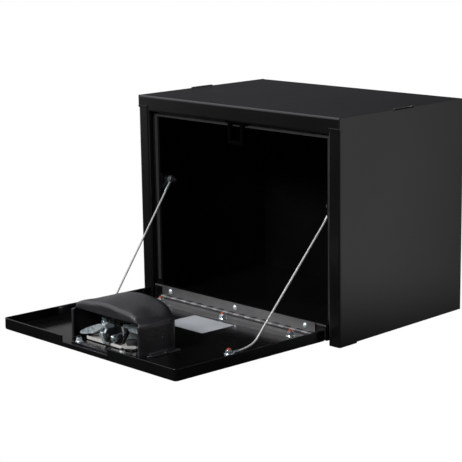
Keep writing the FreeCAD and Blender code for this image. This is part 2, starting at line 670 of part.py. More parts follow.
# trip bar, pushed by the paddle at one end and by the release lever at the other
n.cyl(-32, -237, high(24), X, 2.0, 49.5)
n.cyl(-4, -236, high(11), X, 2.05, 8, cut=True)

n = Node("paddle_pin", LATCH)
n.cyl(-44.8, -254, high(-0.9), X, 1.5, 89.6)
n = Node("paddle", LATCH)
n.pad("XY_Plane", rounded([(-42.6, -258.6, 2), (42.6, -258.6, 2), (42.6, -208.4, 4), (-42.6, -208.4, 4)]),
      high(-3.4), 1.7)
n.box(-38, 38, -212, -209, high(-2), high(0.6))
for x0, x1 in ((-42.6, -30), (10, 21), (30, 42.6)):
    n.cyl(x0, -254, high(-0.9), X, 2.5, x1 - x0)
n.pad("YZ_Plane", side_view([(251.6, -0.9), (256.4, -0.9), (255.5, 8), (246, 27.5, 2), (241.2, 27.5, 2),
                             (241.2, 20), (250.5, 6)]), 14, 3)
n.cyl(-50, -254, high(-0.9), X, 1.55, 100, cut=True)

n = Node("bar_guide", LATCH)
n.pad("YZ_Plane", side_view([(219, 5), (247, 5), (247, 31, 3), (219, 31, 3)]), 8.2, 2.0)
n.box(8.2, 12.6, -247, -219, high(5), high(6.5))
n.pad("XZ_Plane", rounded([(8.2, high(28.6)), (8.2, high(34), 2), (44, high(34), 3), (44, high(24), 3),
                           (22, high(25)), (19.5, high(28.6), 2)]), 244.5, 2.2)
n.cyl(24, -247.6, high(29.8), Y, 2.4, 2)
n.pad("YZ_Plane", side_view([(227, 19.5, 2), (241.4, 19.5, 2), (241.4, 28, 2), (227, 28, 2)]),
      7, 5, cut=True)

n = Node("lever_post", LATCH)
n.cyl(-46, -238, high(5), Z, 4.4, 6.8)
n.cyl(-46, -238, high(11), Z, 2.6, 6)
n.cyl(-46, -238, high(14.7), Z, 4.6, 2.4)
n = Node("release_lever", LATCH)
n.pad("XY_Plane", lines([(-65.2, -271.8), (-64.6, -269.4), (-14, -256.4), (-14.6, -258.8)]), high(9), 24)
BLADE = [(-64, high(9.6), 1), (-65.6, high(11.8), 1), (-63, high(14), 1), (-52, high(20.5)),
         (-38, high(26.5), 4), (-30, high(29.5)), (-13, high(31.5), 1.4), (-13, high(28.5), 1.4),
         (-24, high(24.5), 3), (-34, high(17.5), 4), (-46, high(12.2), 4), (-57, high(9.6), 3)]
around = lines([(-70, high(5)), (-10, high(5)), (-10, high(40)), (-70, high(40))])
n.pad("XZ_Plane", around + rounded(BLADE), 250, 30, cut=True)
n.cyl(-46, -238, high(12), Z, 6.2, 2.5)
n.box(-50.5, -42, -266.2, -240, high(12), high(14.5))
n.pad("XY_Plane", lines([(-46, -241), (-46, -233), (-34.4, -229), (-34.4, -238)]), high(12), 2.5)
n.box(-36.2, -34.4, -238, -229, high(12), high(31))
n.round(lambda m, e: along(e, X) and m.z > high(30), 2.5)
n.cyl(-46, -238, high(11), Z, 2.7, 5, cut=True)

n = Node("link_plate", LATCH)
n.hexagon(-26, -242, high(5), Z, 18, 1.8)
n.cyl(-30, -236, high(5), Z, 2.2, 13)
n = Node("stop_bumper", LATCH)
n.cyl(33, -249, high(5), Z, 9.0, 7.6)
n.cone(33, -249, high(12.6), Z, 9.0, 7.6, 1.4)

# Lock: barrel through the door and its plate, plug with a cam
n = Node("lock_barrel", LATCH)
n.cyl(LOCK_X, LOCK_Y, BEZEL - 2, Z, 11, 2)
n.cyl(LOCK_X, LOCK_Y, BEZEL - 1, Z, 9.5, high(15) - BEZEL + 1)
n.hexagon(LOCK_X, LOCK_Y, FLOOR, Z, 23, 4)
n.cyl(LOCK_X, LOCK_Y, BEZEL - 3, Z, 6.6, 40, cut=True)
n = Node("lock_plug", LATCH)
n.cyl(LOCK_X, LOCK_Y, BEZEL - 1.6, Z, 6.5, high(18) - BEZEL + 1.6)
n.pad("XY_Plane", rounded([(LOCK_X - 30, LOCK_Y - 5.5, 5), (LOCK_X - 30, LOCK_Y + 5.5, 5),
                           (LOCK_X + 7, LOCK_Y + 5.5, 5), (LOCK_X + 7, LOCK_Y - 5.5, 5)]), high(15.5), 2.0)
n.box(LOCK_X - 0.7, LOCK_X + 0.7, LOCK_Y - 3.6, LOCK_Y + 3.6, BEZEL - 3, BEZEL + 3, cut=True)

# Moulded cover

CB, CF = dim("cover_back"), dim("cover_front")
MOUTH, CC = dim("cover_mouth"), dim("cover_corner")
SKIRT, STEP, WALL, ROUND = dim("cover_skirt"), dim("cover_step"), dim("cover_wall"), dim("cover_round")


def outline(inset):
    return rounded([(-CW + inset, -CF + inset, CC - inset), (CW - inset, -CF + inset, CC - inset),
                    (CW - inset, -CB - inset, CC - inset), (-CW + inset, -CB - inset, CC - inset)])


# height of the roof over the door floor at its sides and in the middle
ROOF_BACK = (47.0, 74.0)
ROOF_FRONT = (45.0, 68.5)


def arch(side, top):
    """Section across the cover: flat bottom, straight sides, arched roof."""
    half = num(CW) + 6
    foot = high(-4)
    p = [V(-half, foot, 0), V(-half, high(side), 0), V(0, high(top), 0), V(half, high(side), 0),
         V(half, foot, 0)]
    return [Part.LineSegment(p[0], p[1]), Part.Arc(p[1], p[2], p[3]), Part.LineSegment(p[3], p[4]),
            Part.LineSegment(p[4], p[0])]


def cover_form(n, skirt_inset, dome_inset, drop, front, skirt, foot, edge, nose):
    """Skirt with an arched dome on it, cut off square at the mouth."""
    a = n.sketch("XZ_Plane", arch(ROOF_BACK[0] - drop, ROOF_BACK[1] - drop), CB)
    b = n.sketch("XZ_Plane", arch(ROOF_FRONT[0] - drop, ROOF_FRONT[1] - drop), front + 1)
    n.add("AdditiveLoft", "dome", Profile=a, Sections=[b])
    doc.recompute()
    frame = lines([(-CW - 36, -CF - 28), (CW + 36, -CF - 28), (CW + 36, -CB + 30), (-CW - 36, -CB + 30)])
    n.pad("XY_Plane", frame + outline(dome_inset), -20, 120, cut=True)
    n.box(-CW - 36, CW + 36, -CF - 28, -front, -20, 90, cut=True)
    n.round(lambda m, e: m.z > high(38) and not along(e, Z) and m.y > -num(front) + 0.5, edge)
    if nose:
        n.round(lambda m, e: m.z > high(24) and abs(m.y + num(front)) < 0.01, nose)
    n.pad("XY_Plane", outline(skirt_inset), FLOOR - foot, skirt + foot)
    n.box(-CW - 36, CW + 36, -CF - 28, -front, -20, 90, cut=True)
    n.box(-CW - 36, CW + 36, -CF - 28, -CB + 30, FLOOR - 10, FLOOR - foot, cut=True)


core = Node("cover_core")
cover_form(core, WALL, STEP + WALL, num(WALL) + 0.2, MOUTH - 4, SKIRT - 2, 1.0, ROUND - WALL, 0)
nodes.remove(core)
n = Node("latch_cover", LATCH)
cover_form(n, 0, STEP, 0, MOUTH, SKIRT, 0.0, ROUND, dim("cover_nose"))
n.box(-CW - 9, CW + 9, -262, -200, FLOOR, FLOOR + 2)
n.round(lambda m, e: along(e, Z) and abs(m.x) > num(CW) + 8.5, 5)
GATE, GATE_TOP = CW - 8.6, high(50)
n.pad("XZ_Plane", rounded([(-GATE, high(-1)), (-GATE, GATE_TOP, 5), (GATE, GATE_TOP, 5), (GATE, high(-1))]),
      MOUTH - 9, 12, cut=True)
f = n.add("Boolean", "hollow", Type="Cut")
f.setObjects([core.body])
for side in (-1, 1):
    n.cyl(RIVET_X * side, RIVET_Y, FLOOR - 1, Z, 2.05, 5, cut=True)
for side, word in SIDES:
    n = Node("cover_rivet_" + word, LATCH)
    x = RIVET_X * side
    n.ball(x, RIVET_Y, high(-0.4), 4.4)
    n.box(x - 6, x + 6, RIVET_Y - 6, RIVET_Y + 6, high(-9), high(2), cut=True)
    n.cyl(x, RIVET_Y, OUTER - 0.3, Z, 2.0, high(2.2) - OUTER + 0.3)
    n.cyl(x, RIVET_Y, OUTER - 1.4, Z, 3.2, 1.4)

n = Node("blank_label", DOOR)
n.pad("XY_Plane", rounded([(-50, -112, 3), (42, -112, 3), (42, -42, 3), (-50, -42, 3)]), FLOOR, 0.4)

# Export

doc.recompute()
os.makedirs("parts", exist_ok=True)
bad = []
for n in nodes:
    shape = n.body.Shape
    states = [f.Name for f in n.body.Group if "Invalid" in f.State]
    if states or shape.isNull() or not shape.isValid() or shape.Volume <= 0 or len(shape.Solids) != 1:
        bad.append((n.name, states))
        continue
    shape.exportStep("parts/%s.step" % n.name)
    b = shape.BoundBox
    spans = (b.XMin, b.XMax, b.YMin, b.YMax, b.ZMin, b.ZMax)
    print("%-24s x %.1f..%.1f  y %.1f..%.1f  z %.1f..%.1f" % ((n.name,) + spans))
print("nodes", len(nodes), "bad", bad)
print("cable bend radius", T["cable_bend"])
if bad:
    raise SystemExit("some nodes did not build")
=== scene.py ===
# Underbody tool box with its door open on two stay cables.
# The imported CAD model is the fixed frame: its nodes keep their shapes and get their finishes here.
# Units are metres, in the row frame: x to the right, front at -y, z up.

from math import cos, pi, radians, sin

import bpy
from mathutils import Matrix, Vector


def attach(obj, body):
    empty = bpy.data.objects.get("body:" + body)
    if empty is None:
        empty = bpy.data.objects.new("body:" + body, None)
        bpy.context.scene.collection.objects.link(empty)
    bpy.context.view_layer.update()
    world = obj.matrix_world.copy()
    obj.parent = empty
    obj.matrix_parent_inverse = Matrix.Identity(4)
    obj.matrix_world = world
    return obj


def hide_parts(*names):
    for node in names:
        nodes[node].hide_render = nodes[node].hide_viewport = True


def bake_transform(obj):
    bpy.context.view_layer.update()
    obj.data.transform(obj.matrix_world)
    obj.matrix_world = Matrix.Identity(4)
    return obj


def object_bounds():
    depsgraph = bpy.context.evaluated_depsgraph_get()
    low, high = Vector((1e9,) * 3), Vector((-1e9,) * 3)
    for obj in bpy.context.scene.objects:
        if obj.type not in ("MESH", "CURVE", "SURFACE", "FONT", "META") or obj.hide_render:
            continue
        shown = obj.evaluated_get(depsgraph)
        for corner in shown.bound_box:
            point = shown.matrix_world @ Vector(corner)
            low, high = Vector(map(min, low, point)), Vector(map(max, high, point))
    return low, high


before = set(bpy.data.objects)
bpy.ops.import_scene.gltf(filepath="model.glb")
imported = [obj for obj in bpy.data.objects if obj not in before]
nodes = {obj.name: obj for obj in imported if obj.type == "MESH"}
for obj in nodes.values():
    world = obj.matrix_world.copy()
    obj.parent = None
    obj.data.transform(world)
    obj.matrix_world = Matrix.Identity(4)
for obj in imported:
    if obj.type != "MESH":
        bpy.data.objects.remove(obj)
cad_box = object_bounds()
scene = bpy.context.scene
scene.view_settings.view_transform = "Standard"

# Camera: a long lens above the front right corner of the box, where the photograph was
# taken from. Its place, its turn and its focal length were fitted to the cabinet's corners.

EYE = Vector((1.7024, -1.8230, 0.6638))
YAW, PITCH, ROLL = radians(-45.67), radians(12.22), radians(-0.90)
FOCAL_PIXELS, FRAME_PIXELS = 1499.0, 462.0
SENSOR = 36.0

camera = bpy.data.objects.new("photo_camera", bpy.data.cameras.new("photo_camera"))
scene.collection.objects.link(camera)
scene.camera = camera
camera.data.sensor_width = SENSOR
camera.data.lens = SENSOR * FOCAL_PIXELS / FRAME_PIXELS
camera.data.clip_start, camera.data.clip_end = 0.05, 20.0
forward = Vector((sin(YAW) * cos(PITCH), cos(YAW) * cos(PITCH), -sin(PITCH)))
level = Vector((cos(YAW), -sin(YAW), 0))
upright = level.cross(forward)
across = level * cos(ROLL) + upright * sin(ROLL)
above = upright * cos(ROLL) - level * sin(ROLL)
turned = Matrix((across, above, -forward)).transposed().to_4x4()
camera.matrix_world = Matrix.Translation(EYE) @ turned


# Cabinet: 14 gauge steel bent into a wrap and two sides, welded at the corners, then
# powder coated black all over. The coat is glossy with a fine orange peel, and it
# rounds the sheet's edges. A rubber strip lies on the flange that the door shuts on.

MM = 0.001
COAT_BLACK = (0.0032, 0.0032, 0.0034)


class Graph:
    """Nodes of one finish, or of an effect that several finishes share."""

    def __init__(self, tree):
        self.tree = tree
        tree.nodes.clear()

    def add(self, kind, inputs=None, **settings):
        n = self.tree.nodes.new(kind)
        for key, value in settings.items():
            setattr(n, key, value)
        for key, value in (inputs or {}).items():
            if isinstance(value, bpy.types.NodeSocket):
                self.tree.links.new(value, n.inputs[key])
            else:
                n.inputs[key].default_value = value
        return n

    def noise(self, coords, scale, detail=2.0, stretch=(1, 1, 1)):
        """Noise with features of about 1/scale metres, stretched along the axes."""
        m = self.add("ShaderNodeMapping", {"Vector": coords, "Scale": stretch})
        n = self.add("ShaderNodeTexNoise", {"Vector": m.outputs[0], "Scale": scale, "Detail": detail})
        return n.outputs[0]

    def ramp(self, value, low, high, start=0.0, end=1.0, shape="LINEAR"):
        """Map a value from start..end to low..high."""
        n = self.add("ShaderNodeMapRange", {"Value": value, "From Min": start, "From Max": end,
                                            "To Min": low, "To Max": high}, interpolation_type=shape)
        return n.outputs[0]

    def maths(self, operation, a, b):
        return self.add("ShaderNodeMath", {0: a, 1: b}, operation=operation).outputs[0]

    def vectors(self, operation, a, b):
        """Number that two vectors give: their dot product or their distance."""
        n = self.add("ShaderNodeVectorMath", {0: a, 1: b}, operation=operation)
        return n.outputs["Value"]

    def mix(self, factor, a, b):
        """Colour between a and b."""
        n = self.add("ShaderNodeMix", data_type="RGBA")
        for socket, value in ((n.inputs[0], factor), (n.inputs[6], a), (n.inputs[7], b)):
            if isinstance(value, bpy.types.NodeSocket):
                self.tree.links.new(value, socket)
            else:
                socket.default_value = value if socket == n.inputs[0] else (*value, 1)
        return n.outputs[2]

    def effect(self, group, inputs):
        """One of the shared effects, with this finish's values."""
        return self.add("ShaderNodeGroup", inputs, node_tree=group).outputs[0]


def shared(name, inputs, output):
    """Empty node group with named inputs and one output."""
    group = bpy.data.node_groups.new(name, "ShaderNodeTree")
    for label, kind in inputs:
        group.interface.new_socket(label, in_out="INPUT", socket_type="NodeSocket" + kind)
    group.interface.new_socket(output[0], in_out="OUTPUT", socket_type="NodeSocket" + output[1])
    g = Graph(group)
    return group, g, g.add("NodeGroupInput").outputs, g.add("NodeGroupOutput")


# drifting patches, from Low to High
CLOUDS, g, given, result = shared(
    "clouds", (("Coordinates", "Vector"), ("Scale", "Float"), ("Low", "Float"), ("High", "Float")),
    ("Value", "Float"))
drift = g.add("ShaderNodeTexNoise", {"Vector": given["Coordinates"], "Scale": given["Scale"],
                                     "Detail": 4.0})
spread = g.add("ShaderNodeMapRange", {"Value": drift.outputs[0], "From Min": 0.34, "From Max": 0.66,
                                      "To Min": given["Low"], "To Max": given["High"]})
g.tree.links.new(spread.outputs[0], result.inputs[0])

# grain of a surface, on edges that are rounded over
GRAIN, g, given, result = shared(
    "grain_and_soft_edges", (("Coordinates", "Vector"), ("Scale", "Float"), ("Depth", "Float"),
                             ("Edge", "Float")), ("Normal", "Vector"))
bumps = g.add("ShaderNodeTexNoise", {"Vector": given["Coordinates"], "Scale": given["Scale"],
                                     "Detail": 3.0})
soft = g.add("ShaderNodeBevel", {"Radius": given["Edge"]}, samples=6)
raised = g.add("ShaderNodeBump", {"Height": bumps.outputs[0], "Distance": given["Depth"],
                                  "Strength": 0.4, "Normal": soft.outputs[0]})
g.tree.links.new(raised.outputs[0], result.inputs[0])


def clouds(g, coords, scale, low=0.0, high=1.0):
    return g.effect(CLOUDS, {"Coordinates": coords, "Scale": scale, "Low": low, "High": high})


def grain(g, coords, scale, depth, edge):
    return g.effect(GRAIN, {"Coordinates": coords, "Scale": scale, "Depth": depth, "Edge": edge})


def finish(name):
    """New material, its graph and its object coordinates."""
    material = bpy.data.materials.new(name)
    material.use_nodes = True
    g = Graph(material.node_tree)
    return material, g, g.add("ShaderNodeTexCoord").outputs["Object"]


def surface(g, inputs):
    shader = g.add("ShaderNodeBsdfPrincipled", inputs)
    g.add("ShaderNodeOutputMaterial", {"Surface": shader.outputs[0]})


def paint(material, *names):
    """Give CAD nodes a finish."""
    for name in names:
        data = nodes[name].data
        data.materials.clear()
        data.materials.append(material)


def powder_coat(name, colour, roughness, edge=1.0 * MM, peel=0.1 * MM):
    """Black coat with orange peel, a little cloudiness in its gloss and fine dust."""
    material, g, coords = finish(name)
    tint = g.mix(clouds(g, coords, 9.0), [c * 0.7 for c in colour], [c * 1.3 for c in colour])
    dust = g.ramp(g.noise(coords, 1500), 0.0, 1.0, 0.72, 0.78)
    tint = g.mix(dust, tint, [c * 2 + 0.006 for c in colour])
    gloss = clouds(g, coords, 7.0, roughness * 0.94, roughness * 1.08)
    surface(g, {"Base Color": tint, "Roughness": gloss, "Normal": grain(g, coords, 520.0, peel, edge)})
    return material


cabinet_coat = powder_coat("black_powder_coat", COAT_BLACK, 0.23)
paint(cabinet_coat, "cabinet_wrap", "side_panel_left", "side_panel_right")

# the loop that the latch hooks is dipped dull black
dull_black, g, coords = finish("dull_black_dip")
surface(g, {"Base Color": g.mix(g.noise(coords, 300), [0.0012] * 3, [0.0026] * 3),
            "Roughness": g.ramp(g.noise(coords, 120), 0.8, 0.95), "Specular IOR Level": 0.0,
            "Normal": grain(g, coords, 800.0, 0.06 * MM, 0.3 * MM)})
paint(dull_black, "striker_loop")

black_rubber, g, coords = finish("black_rubber")
surface(g, {"Base Color": (0.012, 0.012, 0.012, 1), "Roughness": clouds(g, coords, 90.0, 0.65, 0.85),
            "Normal": grain(g, coords, 700.0, 0.08 * MM, 0.5 * MM)})
paint(black_rubber, "door_seal")


# Hinge: a continuous stainless hinge. One leaf is riveted to the sill, the other lies on
# the floor of the door under three carriage bolts with flange nuts, whose ends are
# dabbed with orange-red thread lock. Its barrels are polished by the rolling.

# place of the pin, and the lie of the door's floor as seen from it
PIN = Vector((0, -155.6, 6.9)) * MM
TILT = radians(1.5)
OUT = Vector((0, -cos(TILT), sin(TILT)))
UP = Vector((0, sin(TILT), cos(TILT)))
FLOOR = -3.2 * MM
BARREL = 3.25 * MM
# the dark line of painted shade along the door's leaf: its distance from the pin and half its width
SHADED_CREASE_AT, SHADED_CREASE_HALF = 21.5 * MM, 0.45 * MM


def on_door(x, v, h):
    """Point on the door in mm: across, from the pin to the free edge, above the floor of the pan."""
    return PIN + Vector((x * MM, 0, 0)) + OUT * (v * MM) + UP * (FLOOR + h * MM)


def hinge_steel(name, shade, crease=None):
    """Mill-finish stainless, streaked lengthways, water-stained, smoother round the pin.

    A crease is a dark line painted along the leaf at that distance from the pin, as painted
    shade, and beside its barrel the leaf is painted darker, as a painted shadow.
    """
    material, g, coords = finish(name)
    streaks = g.noise(coords, 60, 4.0, (1, 60, 60))
    tint = g.mix(clouds(g, coords, 45.0),
                 [shade * c for c in (0.82, 0.82, 0.80)], [shade * c for c in (1.0, 1.0, 0.98)])
    tint = g.mix(g.ramp(streaks, 0.0, 0.3, 0.3, 0.7), tint, [min(1, shade * 1.5)] * 3)
    flat = g.add("ShaderNodeVectorMath", {0: coords, 1: (0, 1, 1)}, operation="MULTIPLY")
    reach = g.vectors("DISTANCE", flat.outputs[0], (0, PIN.y, PIN.z))
    barrel = g.ramp(reach, 1.0, 0.0, BARREL, BARREL + 0.2 * MM)
    if crease:
        # painted shade: a dark line along the crease, then a painted shadow that darkens the leaf
        # beside its barrels
        line = g.maths("COMPARE", reach, crease)
        line.node.inputs[2].default_value = SHADED_CREASE_HALF
        tint = g.mix(line, tint, [0.25 * shade] * 3)
        painted_barrel_shadow = g.ramp(reach, 0.75, 0.0, BARREL + 0.3 * MM, BARREL + 5 * MM)
        tint = g.mix(painted_barrel_shadow, tint, [0.35 * shade] * 3)
    gloss = g.ramp(streaks, 0.36, 0.50, 0.3, 0.7)
    gloss = g.maths("MULTIPLY", gloss, g.ramp(barrel, 1.0, 0.45))
    surface(g, {"Base Color": tint, "Metallic": 1.0, "Roughness": gloss,
                "Normal": grain(g, coords, 300.0, 0.02 * MM, 0.25 * MM)})
    return material


# painted light and shade: both leaves are the same stainless, and the door's leaf is painted a little
# lighter than the sill's
paint(hinge_steel("hinge_leaf_on_sill", 0.28), "hinge_leaf_sill")
paint(hinge_steel("hinge_leaf_on_door", 0.31, SHADED_CREASE_AT), "hinge_leaf_door")


def zinc_plate(name, tips=None, shine=0.30, shade=1.0, metal=0.6, tan=0.0):
    """Zinc plate, blue-white or tan, with dull patches.

    Above the height given as tips, in mm over the floor of the door, it is orange.
    """
    material, g, coords = finish(name)
    patch = g.noise(coords, 170, 4.0)
    colours = g.add("ShaderNodeValToRGB", {"Fac": patch})
    stops = ((0.30, (0.34, 0.42, 0.47)), (0.44, (0.60, 0.70, 0.75)),
             (0.60, (0.80, 0.86, 0.88)), (0.78, (0.72, 0.70, 0.60)))
    while len(colours.color_ramp.elements) < len(stops):
        colours.color_ramp.elements.new(0.5)
    for element, (place, colour) in zip(colours.color_ramp.elements, stops):
        element.position = place
        element.color = (*[c * shade for c in colour], 1)
    tint = g.mix(tan, colours.outputs[0], (0.98, 0.90, 0.82))
    if tips is not None:
        height = g.vectors("DOT_PRODUCT", coords, UP)
        dab = g.maths("GREATER_THAN", height, on_door(0, 0, tips).dot(UP))
        tint = g.mix(dab, tint, (0.40, 0.062, 0.018))
        metal = g.ramp(dab, metal, 0.0)
    gloss = g.ramp(g.noise(coords, 900, 3.0), shine * 0.7, shine * 1.3, 0.3, 0.7)
    surface(g, {"Base Color": tint, "Metallic": metal, "Roughness": gloss,
                "Normal": grain(g, coords, 900.0, 0.04 * MM, 0.3 * MM)})
    return material


HINGE_TIP = 9.3
zinc = zinc_plate("zinc_plate")
bright_zinc = zinc_plate("bright_zinc_plate", shine=0.34)
nut_zinc = zinc_plate("nut_zinc_plate", shine=0.22, metal=0.9)
tipped = zinc_plate("hinge_bolt_with_tip", HINGE_TIP)
pin_steel, g, coords = finish("hinge_pin_steel")
tint = g.mix(g.noise(coords, 400, 3.0), (0.45, 0.45, 0.44), (0.62, 0.62, 0.61))
surface(g, {"Base Color": tint, "Metallic": 1.0,
            "Roughness": g.ramp(g.noise(coords, 700), 0.18, 0.34)})
paint(pin_steel, "hinge_pin")
for word in ("left", "middle", "right"):
    paint(bright_zinc, "sill_rivet_" + word)
    paint(nut_zinc, "hinge_nut_" + word)
    paint(tipped, "hinge_bolt_" + word)

# Door: a shallow pan pressed from the same sheet, in the same coat, a little glossier
# where it lies flat. Its free flange is notched in the middle for the latch.

paint(powder_coat("door_powder_coat", COAT_BLACK, 0.16), "door_pan")

# Stay cables: steel rope under a clear sheath, 3.4 mm thick, swaged into an eye at each
# end. The upper eye is bolted to a tab behind the door post, the lower one to the floor
# of the door under a flange nut. Each cable runs straight and bends once above the door.

SIDES = (("left", -1), ("right", 1))
ROPE = 1.7 * MM
LAY = 16 * MM
STRANDS, STRAND_DEPTH = 7, 0.08
ROPE_SIDES, STEPS_PER_LAY = 42, 14
# right-hand places in mm: the upper eye and the knee in the row frame, the lower eye on the door
UPPER_EYE, KNEE = (186.2, -119.9, 206.0), (166.6, -283.0, 12.0)
LOWER_EYE = (160.0, 169.0, 2.95)
EYE_REACH, FERRULE = 9.5 * MM, 20 * MM
CABLE_TIP = 8.6


def smooth_line(points):
    """Points of the smooth line that the route's control points give."""
    data = bpy.data.curves.new("route", "CURVE")
    data.dimensions = "3D"
    spline = data.splines.new("NURBS")
    spline.points.add(len(points) - 1)
    for point, place in zip(spline.points, points):
        point.co = (*place, 1)
    spline.order_u = 3
    spline.use_endpoint_u = True
    spline.resolution_u = 64
    route = bpy.data.objects.new("route", data)
    mesh = bpy.data.meshes.new_from_object(route)
    line = [v.co.copy() for v in mesh.vertices]
    bpy.data.objects.remove(route)
    bpy.data.curves.remove(data)
    bpy.data.meshes.remove(mesh)
    return line


def evenly(line, step):
    """The same line with its points a step apart, and its length."""
    total = sum((b - a).length for a, b in zip(line, line[1:]))
    count = max(2, round(total / step))
    out, travelled, i = [line[0]], 0.0, 0
    for k in range(1, count):
        goal = total * k / count
        while travelled + (line[i + 1] - line[i]).length < goal:
            travelled += (line[i + 1] - line[i]).length
            i += 1
        out.append(line[i].lerp(line[i + 1], (goal - travelled) / (line[i + 1] - line[i]).length))
    return out + [line[-1]], total


def wire_rope(name, line):
    """Tube whose section has rounded strands that turn as they go."""
    points, total = evenly(line, LAY / STEPS_PER_LAY)
    verts, faces = [], []
    frame_x = (points[1] - points[0]).orthogonal().normalized()
    travelled = 0.0
    for i, p in enumerate(points):
        ahead = points[min(i + 1, len(points) - 1)] - points[max(i - 1, 0)]
        frame_x = (frame_x - ahead * frame_x.dot(ahead) / ahead.length_squared).normalized()
        frame_y = ahead.normalized().cross(frame_x)
        if i:
            travelled += (p - points[i - 1]).length
        twist = 2 * pi * travelled / LAY
        for k in range(ROPE_SIDES):
            a = 2 * pi * k / ROPE_SIDES
            r = ROPE * (1 - STRAND_DEPTH + STRAND_DEPTH * abs(cos(a * STRANDS / 2)))
            verts.append(p + (frame_x * cos(a + twist) + frame_y * sin(a + twist)) * r)
    for i in range(len(points) - 1):
        for k in range(ROPE_SIDES):
            a, b = i * ROPE_SIDES + k, i * ROPE_SIDES + (k + 1) % ROPE_SIDES
            faces.append((a, b, b + ROPE_SIDES, a + ROPE_SIDES))
    faces.append(tuple(range(ROPE_SIDES))[::-1])
    faces.append(tuple(range((len(points) - 1) * ROPE_SIDES, len(points) * ROPE_SIDES)))
    mesh = bpy.data.meshes.new(name)
    mesh.from_pydata([tuple(v) for v in verts], [], faces)
    mesh.shade_smooth()
    rope = bpy.data.objects.new(name, mesh)
    scene.collection.objects.link(rope)
    return rope, points, total


rope_finish, g, coords = finish("sheathed_wire_rope")
wires = g.noise(coords, 1500)
tint = g.mix(g.ramp(wires, 0.0, 1.0, 0.35, 0.65), (0.36, 0.36, 0.355), (0.50, 0.50, 0.49))
surface(g, {"Base Color": tint, "Metallic": 0.2, "Roughness": g.ramp(wires, 0.30, 0.44),
            "Coat Weight": 0.4, "Coat Roughness": 0.15})
anchor_steel = powder_coat("dark_anchor_steel", (0.012, 0.012, 0.013), 0.35, 0.3 * MM)
cable_tipped = zinc_plate("cable_bolt_with_tip", CABLE_TIP)

for word, side in SIDES:
    upper = Vector((UPPER_EYE[0] * side, *UPPER_EYE[1:])) * MM
    knee = Vector((KNEE[0] * side, *KNEE[1:])) * MM
    lower = on_door(LOWER_EYE[0] * side, *LOWER_EYE[1:])
    along_top = (upper - knee).normalized()
    start = lower + (knee - lower).normalized() * EYE_REACH
    route = [start, knee, knee + along_top * (knee - start).length, upper - along_top * FERRULE,
             upper - along_top * 9 * MM]
    rope, path, length = wire_rope("stay_rope_" + word, smooth_line(route))
    rope.data.materials.append(rope_finish)
    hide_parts("cable_" + word)
    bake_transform(rope)
    paint(nut_zinc, "cable_eye_upper_" + word, "cable_eye_lower_" + word, "cable_nut_lower_" + word)
    paint(cable_tipped, "cable_bolt_lower_" + word)
    paint(cabinet_coat, "cable_tab_" + word)
    paint(anchor_steel, "cable_bolt_upper_" + word, "cable_nut_upper_" + word)

# Latch: a rotary latch of zinc-plated stampings on an inner plate. The claw and its pawl
# turn on pins between two cheeks, and the release lever pushes the trip bar through its
# guide. The paddle and its lock are on the door's outer side, black with a bright plug.

# painted shade: the latch case's zinc is painted nearly black, standing for the shade in the gaps
# between the latch's bright parts
paint(zinc_plate("zinc_plate_painted_dark_as_shade", shine=0.22, shade=0.07), "latch_case")
paint(zinc_plate("passivated_zinc_plate", shine=0.34, metal=0.5, tan=0.7), "latch_plate")
paint(bright_zinc, "claw", "pawl", "claw_pin", "pawl_pin", "bar_guide", "release_lever",
      "link_plate", "lever_post")
for word, _ in SIDES:
    paint(bright_zinc, "stud_nut_front_" + word, "stud_nut_rear_" + word)
paint(cabinet_coat, "latch_strap")
paint(powder_coat("outer_bezel_coat", (0.008, 0.008, 0.0085), 0.34), "latch_bezel")
paint(powder_coat("paddle_coat", (0.010, 0.010, 0.0105), 0.26), "paddle")
paint(pin_steel, "paddle_pin")
paint(zinc, "lock_barrel", "lock_plug")
paint(black_rubber, "stop_bumper")

# Springs of the latch: the claw's two torsion springs sit on studs outside the cheeks,
# and the release lever's return spring stands on a headed pin on the link plate. A star
# washer holds the pin of the link plate. Bright zinc-plated wire, 1.3 mm thick.

WIRE = 0.65 * MM
# sizes in mm; places are given as across, out from the pin and above the door's floor
CLAW_AT, CLAW_HIGH = 266.0, 15.0
COIL, COIL_TURNS, COIL_PITCH, COIL_FIRST = 5.4, 3, 1.45, 8.6
LEVER_PIN = (-30.0, 252.0, 5.0)
LEVER_COIL, LEVER_TURNS, LEVER_FOOT, LEVER_TALL = 4.0, 9, 7.6, 27.0
STAR_AT = (-17.0, 259.0, 5.0)
STAR_POINTS, STAR_RADIUS, STAR_NOTCH, STAR_THICK = 8, 5.6, 0.62, 0.9
TURN_STEPS = 18
PIN_SIDES = 28


def select_only(piece):
    bpy.ops.object.select_all(action="DESELECT")
    piece.select_set(True)
    bpy.context.view_layer.objects.active = piece


def fit_on_door(piece, material):
    """Put the piece's place into its mesh, give it its finish, and let it ride on the door."""
    select_only(piece)
    bpy.ops.object.transform_apply(location=True, rotation=True, scale=True)
    piece.data.materials.clear()
    piece.data.materials.append(material)
    bpy.ops.object.shade_smooth_by_angle(angle=radians(40))
    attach(piece, "door")


def wound_wire(name, points):
    """Spring wire bent along the points."""
    data = bpy.data.curves.new(name, "CURVE")
    data.dimensions = "3D"
    data.bevel_depth = WIRE
    data.bevel_resolution = 3
    data.use_fill_caps = True
    spline = data.splines.new("POLY")
    spline.points.add(len(points) - 1)
    for point, place in zip(spline.points, points):
        point.co = (*place, 1)
    wire = bpy.data.objects.new(name, data)
    scene.collection.objects.link(wire)
    select_only(wire)
    bpy.ops.object.convert(target="MESH")
    return bpy.context.object


def turned_part(foot, axis, radius, tall):
    """Cylinder that stands on its foot along an axis; radius and height in mm."""
    bpy.ops.mesh.primitive_cylinder_add(
        vertices=PIN_SIDES, radius=radius * MM, depth=tall * MM, location=foot + axis * (tall * MM / 2),
        rotation=Vector((0, 0, 1)).rotation_difference(axis).to_euler())
    return bpy.context.object


